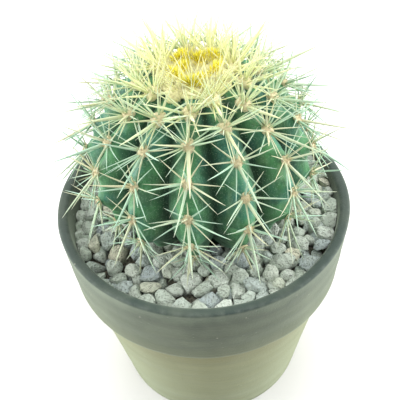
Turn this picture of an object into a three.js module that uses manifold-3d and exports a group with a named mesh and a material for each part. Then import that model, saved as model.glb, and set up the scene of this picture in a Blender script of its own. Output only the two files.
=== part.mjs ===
// A round, ribbed cactus in a grey clay pot with pumice gravel on its soil.
// Millimetres, +Z up. The origin is the centre of the pot's underside.

import * as THREE from 'three';
import { mergeVertices } from 'three/addons/utils/BufferGeometryUtils.js';
import Module from 'manifold-3d';

const wasm = await Module();
wasm.setup();

const TURN = 2 * Math.PI;
const DEGREE = Math.PI / 180;
const GAP = 0.35; // between neighbouring pieces
const WELD_DISTANCE = 1e-5; // corners closer than this are one

// Pot
const POT_HEIGHT = 100;
const RIM_RADIUS = 61;
const MOUTH_RADIUS = 56.5;
const COLLAR_HEIGHT = 33.4;
const COLLAR_FOOT_RADIUS = 58;
const WAIST_RADIUS = 54.7; // of the tapered body, just under the collar
const FOOT_RADIUS = 42.8;
const FOOT_CHAMFER = 1;
const STEP_ROUNDING = 0.8;
const RIM_OUTER_ROUNDING = 1.8;
const RIM_INNER_ROUNDING = 1.2;
const RIM_STEPS = [3, 2]; // faces across the outer and the inner rounding
const SHOULDER_RADIUS = 53.4; // inside, where the collar's bore ends
const SHOULDER_HEIGHT = 72;
const BORE_TOP_RADIUS = 50.4; // inside, below the shoulder
const BORE_TOP_HEIGHT = 64;
const FLOOR_RADIUS = 38.6;
const FLOOR_THICKNESS = 6;
const DRAIN_RADIUS = 7;
const POT_SIDES = 64;

// Soil, and the hole in it that the root fills
const SOIL_TOP = 82;
const SOIL_SIDES = 32;
const NECK_RADIUS = 12; // of the plant's neck where it enters the soil
const ROOT_TIP_RADIUS = 4.5;
const ROOT_TIP_HEIGHT = 42;
const ROOT_SIDES = 16;
const NECK_TOP_RADIUS = 19;
const NECK_TOP_HEIGHT = 91.6;
const NECK_SUNK = 4; // into the stem, over the neck's top
const ROOT_GAP = 2 * GAP; // round the root in the soil
const NECK_GAP = 3 * GAP; // round the neck in the gravel

// Gravel
const GRAVEL_HEIGHT = 90; // of the layer between the stones, on the pot's axis
const GRAVEL_SLOPE = 0.05; // the layer rises towards +X
const STONE_CREST = [2.4, 3.6]; // how far the stones stand out of the layer
const STONE_COUNT = 122;
const STONE_RING = [25.5, 51.5]; // radii of the innermost and outermost stones' centres
const STONE_HALF_WIDTH = [2.7, 3.9];
const STONE_FLATNESS = 0.8;
const STONE_SHIFT = 0.015; // largest turn of a stone off its place, in radians
const STONE_WALL_GAP = 1.5 * GAP; // between the outermost stones and the pot
const STONE_SEED = 11;

// Stem: an ellipsoid whose ribs run from the crown to the neck
const STEM_RADIUS = 44.3;
const STEM_HALF_HEIGHT = 37.5;
const STEM_CENTRE_HEIGHT = 125.7;
const RIBS = 13;
const FRONT_RIB_AZIMUTH = -7.7 * DEGREE; // from -Y towards +X
const RIB_DEPTH = 9.5;
const RIB_FADE = [11 * DEGREE, 50 * DEGREE]; // colatitudes where ribs begin and are whole
const GROOVE_POWER = 1.4; // 1 is a flat flank, 2 a round one
const NOTCH_DEPTH = 2.2; // of the ridge between two areoles
const DIMPLE_DEPTH = 3;
const DIMPLE_RADIUS = 9;
const STRIPS_PER_RIB = 6;
const FIRST_ROW = 0.5; // rows of the skin, in areole steps along a rib
const LAST_ROW = 8.3;
const ROW_STEP = 0.39;

// Areoles: number n sits on rib 5n modulo 13, n/13 steps from the crown's centre
const RIBS_BETWEEN_AREOLES = 5;
const AREOLES_TO_NEXT_RIB = 8; // as 8 times 5 is 1 more than 3 times 13
const FRONT_AREOLE = 26;
const AREOLE_SPACING = [11, 1]; // colatitude in degrees is 11 steps + 1 steps squared
const CROWN_AREOLES = [7, 18];
const STEM_AREOLES = [19, 91];

// Felt cushion of an areole, and the five faces on its top and five on its side that are
// drawn out into spines
const CUSHION_SIDES = 5;
const CUSHION_TOP = 1.3;
const CUSHION_SHOULDER = { radius: 0.75, height: 1.05 };
const CUSHION_FOOT = { radius: 1.35, height: 0.1 };
const CUSHION_DEPTH = 1.8; // sunk into the stem
const CUSHION_STRETCH = 1.2; // along the rib

// Thick felt round the youngest areoles of the stem
const FELTED_AREOLES = [20, 25];
const FELT_HALF_LENGTH = [3.3, 2.8]; // along the rib, next to the crown and on the last of them
const FELT_FLATNESS = { width: 0.8, height: 0.55 }; // as shares of the half length
const FELT_CLEARANCE = 0.9; // to the crown's cap

// Spines
const RADIAL_LENGTH = 14.5;
const RADIAL_LIFT = 24 * DEGREE; // out of the skin
const CENTRAL_LENGTH = 16.5;
const CENTRAL_LIFT = 52 * DEGREE;
const MAIN_LENGTH = 20.5; // of the strongest central, which points down the rib
const MAIN_LIFT = 36 * DEGREE;
const YOUNG_LIFT = 26 * DEGREE; // added next to the crown, fading to nothing
const YOUNG_COLATITUDE = 55 * DEGREE;
const OLD_COLATITUDE = 108 * DEGREE; // spines are shorter below this
const OLD_LENGTH = 0.74;
const MOST_LIFT = 80 * DEGREE;
const MOST_BENDS = 12;
const BEND_STEP = 0.15; // outwards, as a share of the spine's direction
const BEND_CHECKS = [0.25, 0.5, 0.75, 1]; // shares of a spine's length
const TURN_SPREAD = 0.12; // of a spine round its areole, as a share of a fifth of a turn
const LIFT_SPREAD = 0.2; // each of these as a share of the value itself
const LENGTH_SPREAD = 0.1;
const MAIN_TURN_SPREAD = 0.1; // in radians
const MAIN_LIFT_SPREAD = 0.1;
const MAIN_LENGTH_SPREAD = 0.06;
const SPINE_REACH = 59.5; // largest distance from the axis, over the rim
const REACH_IN_MOUTH = 54; // and below the rim
const SPINE_CLEARANCE = 1.2;
const SPINE_SEED = 5;

// Crown: a cap of felt in the stem's dimple, with young spines
const CAP_RADIUS = 11.8;
const CAP_PROFILE = [[1, 0.15], [0.86, 1.3], [0.6, 2.7], [0.3, 2.1], [0, 1.6]];
const CAP_SIDES = 26;
const CAP_GAP = 0.5;
const CROWN_SEAT = 0.9; // height of a young areole's middle over the cap's underside
const CROWN_TOP = 184;
const CROWN_SPINE_LEAN = [4 * DEGREE, 26 * DEGREE]; // from upright, at the centre and the edge
const CROWN_SPINE_SPREAD = 0.16; // sideways, as a share of their rise
const CROWN_SPINE_DROP = 7; // tips end up to this far below the top
const LAST_BRUSH = 12; // the areoles up to this one have short brushes instead
const BRUSH_RISE = [3.2, 4.8];
const BRUSH_SPREAD = 0.3;
const CROWN_CONE = { radius: 13.2, height: 164, slope: 0.5 }; // holds every spine of the crown

// A repeatable random number from 0 to 1
function randomSource(seed) {
  let state = seed;
  return () => {
    state = (state + 0x6d2b79f5) | 0;
    let mixed = Math.imul(state ^ (state >>> 15), 1 | state);
    mixed = (mixed + Math.imul(mixed ^ (mixed >>> 7), 61 | mixed)) ^ mixed;
    return ((mixed ^ (mixed >>> 14)) >>> 0) / 4294967296;
  };
}

const between = ([low, high], share) => low + (high - low) * share;

function smoothStep([low, high], value) {
  const share = THREE.MathUtils.clamp((value - low) / (high - low), 0, 1);
  return share * share * (3 - 2 * share);
}

function bare(geometry) {
  const positions = geometry.clone();
  positions.deleteAttribute('normal');
  positions.deleteAttribute('uv');
  return mergeVertices(positions, WELD_DISTANCE);
}

function solidOf(geometry) {
  const merged = bare(geometry);
  return new wasm.Manifold(new wasm.Mesh({
    numProp: 3,
    vertProperties: merged.attributes.position.array,
    triVerts: new Uint32Array(merged.index.array),
  }));
}

function geometryOf(solid) {
  const { vertProperties, triVerts } = solid.getMesh();
  const geometry = new THREE.BufferGeometry();
  geometry.setAttribute('position', new THREE.BufferAttribute(vertProperties, 3));
  geometry.setIndex(new THREE.BufferAttribute(triVerts, 1));
  return geometry;
}

const joined = (geometries) => wasm.Manifold.union(geometries.map(solidOf));

// Turns a profile of [radius, height] points round the Z axis
function turned(profile, sides) {
  const points = profile.map(([radius, height]) => new THREE.Vector2(radius, height));
  return new THREE.LatheGeometry(points, sides).rotateX(Math.PI / 2);
}

// Points of an arc in a profile; angles are from outwards towards up
function arc([radius, height], size, from, to, steps) {
  return Array.from({ length: steps + 1 }, (_, i) => {
    const angle = between([from, to], i / steps);
    return [radius + size * Math.cos(angle), height + size * Math.sin(angle)];
  });
}

// Pot

function potGeometry() {
  const collarFoot = POT_HEIGHT - COLLAR_HEIGHT;
  return turned([
    [DRAIN_RADIUS, 0],
    [FOOT_RADIUS - FOOT_CHAMFER, 0],
    [FOOT_RADIUS, FOOT_CHAMFER],
    [WAIST_RADIUS, collarFoot - STEP_ROUNDING],
    [WAIST_RADIUS + STEP_ROUNDING, collarFoot],
    [COLLAR_FOOT_RADIUS - STEP_ROUNDING, collarFoot],
    [COLLAR_FOOT_RADIUS, collarFoot + STEP_ROUNDING],
    ...arc([RIM_RADIUS - RIM_OUTER_ROUNDING, POT_HEIGHT - RIM_OUTER_ROUNDING],
      RIM_OUTER_ROUNDING, 0, Math.PI / 2, RIM_STEPS[0]),
    ...arc([MOUTH_RADIUS + RIM_INNER_ROUNDING, POT_HEIGHT - RIM_INNER_ROUNDING],
      RIM_INNER_ROUNDING, Math.PI / 2, Math.PI, RIM_STEPS[1]),
    [SHOULDER_RADIUS, SHOULDER_HEIGHT],
    [BORE_TOP_RADIUS, BORE_TOP_HEIGHT],
    [FLOOR_RADIUS, FLOOR_THICKNESS],
    [DRAIN_RADIUS, FLOOR_THICKNESS],
    [DRAIN_RADIUS, 0],
  ], POT_SIDES);
}

// Inner radius of the pot's collar at a height above the shoulder
function mouthRadius(height) {
  const top = POT_HEIGHT - RIM_INNER_ROUNDING;
  return between([SHOULDER_RADIUS, MOUTH_RADIUS], (height - SHOULDER_HEIGHT) / (top - SHOULDER_HEIGHT));
}

// Soil

function soilGeometry() {
  return turned([
    [0, FLOOR_THICKNESS + GAP],
    [FLOOR_RADIUS - GAP, FLOOR_THICKNESS + GAP],
    [BORE_TOP_RADIUS - GAP, BORE_TOP_HEIGHT],
    [SHOULDER_RADIUS - GAP, SHOULDER_HEIGHT],
    [mouthRadius(SOIL_TOP) - GAP, SOIL_TOP],
    [NECK_RADIUS + ROOT_GAP, SOIL_TOP],
    [ROOT_TIP_RADIUS + ROOT_GAP, ROOT_TIP_HEIGHT - GAP],
    [0, ROOT_TIP_HEIGHT - GAP],
  ], SOIL_SIDES);
}

// Gravel

// Height of the layer between the stones, which slopes along X
const gravelSurface = (x) => GRAVEL_HEIGHT + GRAVEL_SLOPE * x;

// The layer, whose top is sheared to the slope and whose hole widens with the plant's neck
function gravelLayer() {
  const foot = SOIL_TOP + GAP;
  const geometry = turned([
    [NECK_RADIUS + NECK_GAP, foot],
    [mouthRadius(foot) - GAP, foot],
    [mouthRadius(gravelSurface(-MOUTH_RADIUS)) - GAP, GRAVEL_HEIGHT],
    [NECK_TOP_RADIUS + GAP, GRAVEL_HEIGHT],
    [NECK_RADIUS + NECK_GAP, foot],
  ], SOIL_SIDES);
  const place = geometry.attributes.position;
  for (let i = 0; i < place.count; i += 1) {
    const share = (place.getZ(i) - foot) / (GRAVEL_HEIGHT - foot);
    place.setZ(i, place.getZ(i) + share * GRAVEL_SLOPE * place.getX(i));
  }
  return geometry;
}

// One stone: a flattened, turned icosahedron, sunk into the layer to its crest, clear of pot and stem
function stone(radius, angle, random) {
  const [length, width, thickness] = [0, 1, 2].map(() => between(STONE_HALF_WIDTH, random()));
  const geometry = new THREE.IcosahedronGeometry(1, 0);
  geometry.rotateX(random() * TURN).rotateY(random() * TURN);
  geometry.scale(length, width, thickness * STONE_FLATNESS).rotateZ(random() * TURN);
  const reach = Math.min(radius, mouthRadius(GRAVEL_HEIGHT) - STONE_WALL_GAP - Math.max(length, width));
  const [x, y] = [reach * Math.cos(angle), reach * Math.sin(angle)];
  const shoulder = Math.max(reach - STONE_HALF_WIDTH[0], 0);
  const crest = Math.min(gravelSurface(x) + between(STONE_CREST, random()), underside(shoulder) - GAP);
  geometry.computeBoundingBox();
  return geometry.translate(x, y, crest - geometry.boundingBox.max.z);
}

// Stones spread evenly over the ring as on a sunflower, each a little off its place
function gravelGeometry() {
  const random = randomSource(STONE_SEED);
  const golden = TURN * (3 - Math.sqrt(5)) / 2;
  const [inner, outer] = STONE_RING;
  const stones = Array.from({ length: STONE_COUNT }, (_, i) => {
    const radius = Math.sqrt(between([inner ** 2, outer ** 2], i / (STONE_COUNT - 1)));
    const angle = i * golden + between([-STONE_SHIFT, STONE_SHIFT], random());
    return stone(radius, angle, random);
  });
  return geometryOf(joined([gravelLayer(), ...stones]));
}

// Stem

// Height of the smooth ellipsoid's lower half at a distance from the axis
function underside(reach) {
  const share = Math.min(reach / STEM_RADIUS, 1);
  return STEM_CENTRE_HEIGHT - STEM_HALF_HEIGHT * Math.sqrt(1 - share ** 2);
}

// Areole steps from the crown's centre down to a colatitude, and the way back
const stepsAt = (colatitude) => {
  const [linear, square] = AREOLE_SPACING;
  return (Math.sqrt(linear ** 2 + 4 * square * colatitude / DEGREE) - linear) / (2 * square);
};
const colatitudeAt = (steps) => DEGREE * (AREOLE_SPACING[0] * steps + AREOLE_SPACING[1] * steps ** 2);

// Point of the smooth ellipsoid, sunk by a depth along its outward normal
function ellipsoidPoint(colatitude, azimuth, depth = 0) {
  const outward = new THREE.Vector3(Math.sin(azimuth), -Math.cos(azimuth), 0);
  const normal = outward.clone().multiplyScalar(Math.sin(colatitude) / STEM_RADIUS);
  normal.z = Math.cos(colatitude) / STEM_HALF_HEIGHT;
  normal.normalize();
  const point = outward.multiplyScalar(STEM_RADIUS * Math.sin(colatitude));
  point.z = STEM_CENTRE_HEIGHT + STEM_HALF_HEIGHT * Math.cos(colatitude);
  return { point: point.addScaledVector(normal, -depth), normal };
}

// Point of the skin: grooves between the ribs, notches between a rib's areoles, and the dimple
function skinPoint(colatitude, azimuth) {
  const place = (azimuth - FRONT_RIB_AZIMUTH) * RIBS / TURN;
  const rib = Math.round(place);
  const offRidge = 2 * Math.abs(place - rib);
  const ribStart = ((AREOLES_TO_NEXT_RIB * rib) % RIBS) / RIBS;
  const fade = smoothStep(RIB_FADE, colatitude) * Math.sin(colatitude);
  const notch = (1 - Math.cos(TURN * (stepsAt(colatitude) - ribStart))) / 2;
  const depth = fade * (RIB_DEPTH * offRidge ** GROOVE_POWER + NOTCH_DEPTH * notch * (1 - offRidge));
  const { point } = ellipsoidPoint(colatitude, azimuth, depth);
  const reach = STEM_RADIUS * Math.sin(colatitude);
  if (colatitude < Math.PI / 2) {
    point.z -= DIMPLE_DEPTH * Math.exp(-((reach / DIMPLE_RADIUS) ** 2));
  }
  return point;
}

// Closed skin: rings of points from the crown down, with a point at each pole
function skinGeometry() {
  const columns = RIBS * STRIPS_PER_RIB;
  const colatitudes = [];
  for (let steps = FIRST_ROW; steps <= LAST_ROW; steps += ROW_STEP) {
    colatitudes.push(colatitudeAt(steps));
  }
  const vertices = [skinPoint(0, FRONT_RIB_AZIMUTH)];
  for (const colatitude of colatitudes) {
    for (let column = 0; column < columns; column += 1) {
      vertices.push(skinPoint(colatitude, FRONT_RIB_AZIMUTH + column * TURN / columns));
    }
  }
  vertices.push(ellipsoidPoint(Math.PI, 0).point);
  const last = vertices.length - 1;
  const at = (row, column) => 1 + row * columns + (column % columns);
  const triangles = [];
  for (let column = 0; column < columns; column += 1) {
    triangles.push(0, at(0, column), at(0, column + 1));
    for (let row = 0; row < colatitudes.length - 1; row += 1) {
      triangles.push(at(row, column), at(row + 1, column), at(row + 1, column + 1));
      triangles.push(at(row, column), at(row + 1, column + 1), at(row, column + 1));
    }
    triangles.push(at(colatitudes.length - 1, column), last, at(colatitudes.length - 1, column + 1));
  }
  const geometry = new THREE.BufferGeometry().setFromPoints(vertices);
  return geometry.setIndex(triangles);
}

// Neck and taproot, whose top is inside the stem
function rootGeometry() {
  return turned([
    [0, ROOT_TIP_HEIGHT],
    [ROOT_TIP_RADIUS, ROOT_TIP_HEIGHT],
    [NECK_RADIUS, SOIL_TOP],
    [NECK_TOP_RADIUS, NECK_TOP_HEIGHT],
    [NECK_TOP_RADIUS, NECK_TOP_HEIGHT + NECK_SUNK],
    [0, NECK_TOP_HEIGHT + NECK_SUNK],
  ], ROOT_SIDES);
}

// Areole number n: its place, and the directions across the rib, down it and out of the skin
function areole(number) {
  const colatitude = colatitudeAt(number / RIBS);
  const azimuth = FRONT_RIB_AZIMUTH + (number - FRONT_AREOLE) * RIBS_BETWEEN_AREOLES * TURN / RIBS;
  const { point, normal } = ellipsoidPoint(colatitude, azimuth);
  const across = new THREE.Vector3(-Math.cos(azimuth), -Math.sin(azimuth), 0);
  const down = new THREE.Vector3().crossVectors(normal, across);
  return { number, colatitude, point, across, down, normal, depth: CUSHION_DEPTH };
}

// An areole's cushion with its spines: a dome of two rings of corners, whose top faces and whose
// upright lower faces rise to the tips; a ring's corner i lies i sides round from down the rib
function starGeometry({ point, across, down, normal, depth }, centralTips, radialTips) {
  const corner = ({ radius, height }, side) => {
    const angle = side * TURN / CUSHION_SIDES;
    return point.clone()
      .addScaledVector(down, CUSHION_STRETCH * radius * Math.cos(angle))
      .addScaledVector(across, radius * Math.sin(angle))
      .addScaledVector(normal, height);
  };
  const top = point.clone().addScaledVector(normal, CUSHION_TOP);
  const root = point.clone().addScaledVector(normal, -depth);
  const faces = [];
  for (let i = 0; i < CUSHION_SIDES; i += 1) {
    const upper = corner(CUSHION_SHOULDER, i - 0.5);
    const nextUpper = corner(CUSHION_SHOULDER, i + 0.5);
    const lower = corner(CUSHION_FOOT, i);
    const nextLower = corner(CUSHION_FOOT, i + 1);
    faces.push(...drawnOut([top, nextUpper, upper], centralTips?.[i]));
    faces.push([upper, nextUpper, lower]);
    faces.push(...drawnOut([nextUpper, nextLower, lower], radialTips?.[i]));
    faces.push([lower, nextLower, root]);
  }
  return new THREE.BufferGeometry().setFromPoints(faces.flat());
}

// A face, or the three faces that rise from its sides to a tip
function drawnOut([a, b, c], tip) {
  return tip ? [[a, b, tip], [b, c, tip], [c, a, tip]] : [[a, b, c]];
}

// Whether any part of a spine is in the cone that holds the crown's spines
function meetsCrown(root, tip) {
  const { radius, height, slope } = CROWN_CONE;
  return BEND_CHECKS.some((share) => {
    const point = root.clone().lerp(tip, share);
    const limit = radius + slope * (point.z - height);
    return point.z > height && Math.hypot(point.x, point.y) < limit;
  });
}

// A spine's tip, bent clear of the crown, the gravel and the pot
function clearTip(root, direction, length) {
  const outward = new THREE.Vector3(root.x, root.y, 0).normalize();
  const heading = direction.clone();
  const tip = root.clone().addScaledVector(heading, length);
  for (let bends = 0; bends < MOST_BENDS && meetsCrown(root, tip); bends += 1) {
    heading.addScaledVector(outward, BEND_STEP).normalize();
    tip.copy(root).addScaledVector(heading, length);
  }
  tip.z = Math.max(tip.z, gravelSurface(tip.x) + STONE_CREST[1] + SPINE_CLEARANCE);
  const reach = Math.hypot(tip.x, tip.y);
  const limit = tip.z < POT_HEIGHT + SPINE_CLEARANCE ? REACH_IN_MOUTH : SPINE_REACH;
  if (reach > limit) {
    tip.x *= limit / reach;
    tip.y *= limit / reach;
  }
  return tip;
}

// Tip of a spine that leaves its areole at a turn from down the rib and a lift off the skin
function stemTip(place, turn, lift, length) {
  const young = YOUNG_LIFT * (1 - smoothStep([0, YOUNG_COLATITUDE], place.colatitude));
  const age = place.colatitude > OLD_COLATITUDE ? OLD_LENGTH : 1;
  const rise = Math.min(lift + young, MOST_LIFT);
  const direction = new THREE.Vector3()
    .addScaledVector(place.down, Math.cos(rise) * Math.cos(turn))
    .addScaledVector(place.across, Math.cos(rise) * Math.sin(turn))
    .addScaledVector(place.normal, Math.sin(rise));
  return clearTip(place.point, direction, length * age);
}

// An areole of the stem: a main spine down the rib, four more centrals, and five radials between
function stemAreole(place, random) {
  const off = (spread) => between([-spread, spread], random());
  const about = (value, spread) => value * (1 + off(spread));
  const tips = (length, lift, firstSide) => Array.from({ length: CUSHION_SIDES }, (_, i) => {
    const turn = (firstSide + i + off(TURN_SPREAD)) * TURN / CUSHION_SIDES;
    return stemTip(place, turn, about(lift, LIFT_SPREAD), about(length, LENGTH_SPREAD));
  });
  const centrals = tips(CENTRAL_LENGTH, CENTRAL_LIFT, 0);
  centrals[0] = stemTip(place, off(MAIN_TURN_SPREAD), about(MAIN_LIFT, MAIN_LIFT_SPREAD),
    about(MAIN_LENGTH, MAIN_LENGTH_SPREAD));
  return starGeometry(place, centrals, tips(RADIAL_LENGTH, RADIAL_LIFT, 0.5));
}

// Dome of thick felt round a young areole: a flattened icosahedron, half sunk into the stem
function feltDome({ number, point, across, down, normal }) {
  const [first, last] = FELTED_AREOLES;
  const room = Math.hypot(point.x, point.y) - CAP_RADIUS - FELT_CLEARANCE;
  const halfLength = Math.min(between(FELT_HALF_LENGTH, (number - first) / (last - first)), room);
  const place = new THREE.Matrix4().makeBasis(
    down.clone().multiplyScalar(halfLength),
    across.clone().multiplyScalar(-halfLength * FELT_FLATNESS.width),
    normal.clone().multiplyScalar(halfLength * FELT_FLATNESS.height),
  ).setPosition(point);
  return new THREE.IcosahedronGeometry(1, 0).applyMatrix4(place);
}

function areoleRange([first, last]) {
  return Array.from({ length: last - first + 1 }, (_, i) => areole(first + i));
}

function cactusGeometry() {
  const random = randomSource(SPINE_SEED);
  const stars = areoleRange(STEM_AREOLES).map((place) => stemAreole(place, random));
  const domes = areoleRange(FELTED_AREOLES).map(feltDome);
  return geometryOf(joined([skinGeometry(), rootGeometry(), ...domes, ...stars]));
}

// Crown

// Height of the stem's top at a distance from the axis, where it has no ribs
function stemTop(reach) {
  return skinPoint(Math.asin(reach / STEM_RADIUS), FRONT_RIB_AZIMUTH).z;
}

// The cap follows the stem's top underneath and bulges as a low ring above
function capGeometry() {
  const rowReaches = [FIRST_ROW, FIRST_ROW + ROW_STEP]
    .map((steps) => STEM_RADIUS * Math.sin(colatitudeAt(steps)));
  const underside = [0, ...rowReaches, CAP_RADIUS].map((reach) => [reach, stemTop(reach) + CAP_GAP]);
  const top = CAP_PROFILE.map(([share, rise]) => {
    const reach = share * CAP_RADIUS;
    return [reach, stemTop(reach) + CAP_GAP + rise];
  });
  return turned([...underside, ...top], CAP_SIDES);
}

// A young areole in the cap: a short brush, or spines that lean out more the further out it is
function crownAreole({ number, point }, random) {
  const outward = new THREE.Vector3(point.x, point.y, 0).normalize();
  const reach = Math.min(Math.hypot(point.x, point.y), CAP_RADIUS - CUSHION_FOOT.radius * CUSHION_STRETCH);
  const seat = outward.clone().multiplyScalar(reach).setZ(stemTop(reach) + CAP_GAP + CROWN_SEAT);
  const across = new THREE.Vector3(outward.y, -outward.x, 0);
  const upright = new THREE.Vector3(0, 0, 1);
  const place = { point: seat, across, down: outward, normal: upright, depth: CROWN_SEAT / 2 };
  const lean = between(CROWN_SPINE_LEAN, reach / CAP_RADIUS);
  const isBrush = number <= LAST_BRUSH;
  const spread = isBrush ? BRUSH_SPREAD : CROWN_SPINE_SPREAD;
  const tips = Array.from({ length: CUSHION_SIDES }, (_, i) => {
    const turn = i * TURN / CUSHION_SIDES;
    const longRise = CROWN_TOP - CROWN_SPINE_DROP * random() - seat.z;
    const rise = isBrush ? between(BRUSH_RISE, random()) : longRise;
    return seat.clone()
      .addScaledVector(outward, rise * (Math.tan(lean) + spread * Math.cos(turn)))
      .addScaledVector(across, rise * spread * Math.sin(turn))
      .setZ(seat.z + rise);
  });
  return starGeometry(place, tips, null);
}

function crownGeometry() {
  const random = randomSource(SPINE_SEED);
  const stars = areoleRange(CROWN_AREOLES).map((place) => crownAreole(place, random));
  return geometryOf(joined([capGeometry(), ...stars]));
}

// The finished object

function piece(name, geometry, colour, roughness) {
  const material = new THREE.MeshStandardMaterial({ color: colour, roughness, metalness: 0 });
  const mesh = new THREE.Mesh(geometry, material);
  mesh.name = name;
  return mesh;
}

const plant = new THREE.Group();
plant.add(
  piece('cactus', cactusGeometry(), '#4b7d5c', 0.55),
  piece('crown_wool', crownGeometry(), '#e6d983', 0.9),
);

const pottedCactus = new THREE.Group();
pottedCactus.add(
  piece('pot', potGeometry(), '#7e8a7c', 0.7),
  piece('potting_soil', soilGeometry(), '#3f352b', 0.95),
  piece('gravel_topdressing', gravelGeometry(), '#a3aa9f', 0.85),
  plant,
);

export default pottedCactus;
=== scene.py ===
# %% [markdown]
# # A round cactus in a clay pot
# A measured model gives every size and place, and this lesson dresses it. Each plain solid gets
# the surface of the real thing, worked out on grids of points, and a finish of shader nodes.
# Lengths on the part are millimetres, those of the floor, lights and camera metres, and heights
# start at the pot's underside.

# %% Load the measured model
import bpy
import numpy as np
from mathutils import Matrix


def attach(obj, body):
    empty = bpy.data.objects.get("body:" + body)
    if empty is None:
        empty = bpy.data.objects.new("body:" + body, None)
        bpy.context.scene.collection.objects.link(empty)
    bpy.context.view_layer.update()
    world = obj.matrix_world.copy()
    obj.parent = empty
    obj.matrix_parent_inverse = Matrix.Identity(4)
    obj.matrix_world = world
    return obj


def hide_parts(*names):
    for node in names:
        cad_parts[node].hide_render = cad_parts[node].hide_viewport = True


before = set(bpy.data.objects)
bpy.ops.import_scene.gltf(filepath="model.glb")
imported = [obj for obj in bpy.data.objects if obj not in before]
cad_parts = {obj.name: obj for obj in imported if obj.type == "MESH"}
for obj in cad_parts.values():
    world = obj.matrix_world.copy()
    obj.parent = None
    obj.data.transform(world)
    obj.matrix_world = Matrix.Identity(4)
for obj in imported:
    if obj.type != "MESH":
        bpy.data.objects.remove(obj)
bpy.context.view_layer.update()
scene = bpy.context.scene
print("measured solids:", ", ".join(sorted(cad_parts)))

# %% [markdown]
# ## Surfaces from grids
# A surface here is a grid of points: rows follow each other down the thing, and columns run
# anticlockwise round it, seen from its top. Sculpting could give the same shapes, but a formula
# can be changed in one place, and hundreds of spines or stones cost no more than one.

# %% Directions and places
MM = 0.001
TURN = 2 * np.pi


def length_of(vectors):
    """Length of each vector."""
    return np.linalg.norm(vectors, axis=-1)


def unit(vectors):
    """Each vector divided by its own length."""
    return vectors / length_of(vectors)[..., None]


def turn_steps(columns, first=0):
    """Even steps of one turn from a first angle."""
    return first + TURN * np.arange(columns) / columns


def round_axis(reach, azimuth):
    """Places round the upright axis: (reach sin a, -reach cos a).

    The azimuth a is counted from the front towards the right.
    """
    return np.stack([reach * np.sin(azimuth), -reach * np.cos(azimuth)], axis=-1)


def raised(places, height):
    """Points above flat places, each at its own height."""
    return np.concatenate([places, height[..., None]], axis=-1)


def turned(outline, azimuth):
    """Rings round the upright axis, one for each point (radius, height) of an outline."""
    return raised(round_axis(outline[:, :1], azimuth), outline[:, 1:] + 0 * azimuth)


# %% Faces of closed skins and of bands
def grid_quads(corner, below):
    """Quads from rows of point numbers to the rows below them, all the way round."""
    quads = [corner, below, np.roll(below, -1, axis=1), np.roll(corner, -1, axis=1)]
    return np.stack(quads, -1).reshape(-1, 4)


def closed_skins(tops, rings, ends):
    """Points and faces of many closed skins, each a top point, rings under it and an end point.

    Quads join neighbouring rings, and a fan of triangles joins the first and last ring to the
    top and end points. The rings have the shape (skins, rows, columns, 3).
    """
    count, rows, columns, _ = rings.shape
    points = np.concatenate([tops[:, None], rings.reshape(count, -1, 3), ends[:, None]], axis=1)
    corner = 1 + np.arange(rows * columns).reshape(rows, columns)
    after = np.roll(corner, -1, axis=1)
    top_fan = np.stack([0 * after[0], corner[0], after[0]], -1)
    end_fan = np.stack([0 * after[0] + rows * columns + 1, after[-1], corner[-1]], -1)
    starts = points.shape[1] * np.arange(count)[:, None, None]
    quads = (grid_quads(corner[:-1], corner[1:]) + starts).reshape(-1, 4)
    fans = (np.concatenate([top_fan, end_fan]) + starts).reshape(-1, 3)
    return points.reshape(-1, 3), [quads, fans]


def closed_band(rings):
    """Points and faces of a grid of rings whose last ring meets its first."""
    corner = np.arange(rings[..., 0].size).reshape(rings.shape[:2])
    return rings.reshape(-1, 3), [grid_quads(corner, np.roll(corner, -1, axis=0))]


# %% Make a piece from points and faces
def shown(name, data):
    """Object that shows a mesh, a lamp or a camera in the scene."""
    thing = bpy.data.objects.new(name, data)
    scene.collection.objects.link(thing)
    return thing


def new_piece(name, points, faces, finish, slot, **values):
    """Object that rides on the part, from points in millimetres, face arrays and point values.

    Where a value has fewer numbers than points, each holds for an equal share of them in a row.
    """
    mesh = bpy.data.meshes.new(name)
    mesh.from_pydata(points * MM, [], sum((some.tolist() for some in faces), []))
    mesh.shade_smooth()
    for key, value in values.items():
        each = np.repeat(np.ravel(value), len(points) // np.size(value))
        mesh.attributes.new(key, "FLOAT", "POINT").data.foreach_set("value", each.astype(np.float32))
    mesh.materials.append(finish)
    piece = shown(name, mesh)
    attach(piece, "root")
    print(name, "has", len(mesh.polygons), "faces and is up to", points[:, 2].max().round(1), "mm high")
    return piece


# %% [markdown]
# ## Uneven surfaces
# Nothing that was grown, dug or thrown on a wheel is quite even. A Displace modifier could make
# hills and hollows, but a sum of sine waves in random directions can be used in any formula.

# %% Hills and hollows
WAVES = 24


def hills(points, size, seed):
    """Smooth height with a spread of 1, the scaled sum of sine waves.

    Each wave has a random direction and start, and a length of 0.6 to 1.6 times the size.
    """
    random = np.random.default_rng(seed)
    heading = unit(random.normal(size=(WAVES, 3)))
    pace = TURN / (size * random.uniform(0.6, 1.6, (WAVES, 1)))
    start = random.uniform(0, TURN, WAVES)
    return np.sin(points @ (heading * pace).T + start).sum(-1) / np.sqrt(WAVES / 2)


def smooth_step(low, high, value):
    """0 below low, 1 above high, and 3 t squared minus 2 t cubed between them."""
    share = np.clip((value - low) / (high - low), 0, 1)
    return share * share * (3 - 2 * share)


# %% [markdown]
# ## Finishes
# A finish is a material whose colour and bump come from noise on the object's own coordinates,
# so it stays put on the piece. A photograph could be pasted on, but it would stretch, and it
# would show its own light.

# %% Nodes for the finishes
def shade(red, green, blue):
    """Linear colour for the shader from the usual 0 to 255 screen values."""
    screen = np.array([red, green, blue]) / 255
    linear = np.where(screen <= 0.04045, screen / 12.92, ((screen + 0.055) / 1.055) ** 2.4)
    return (*linear.tolist(), 1.0)


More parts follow.
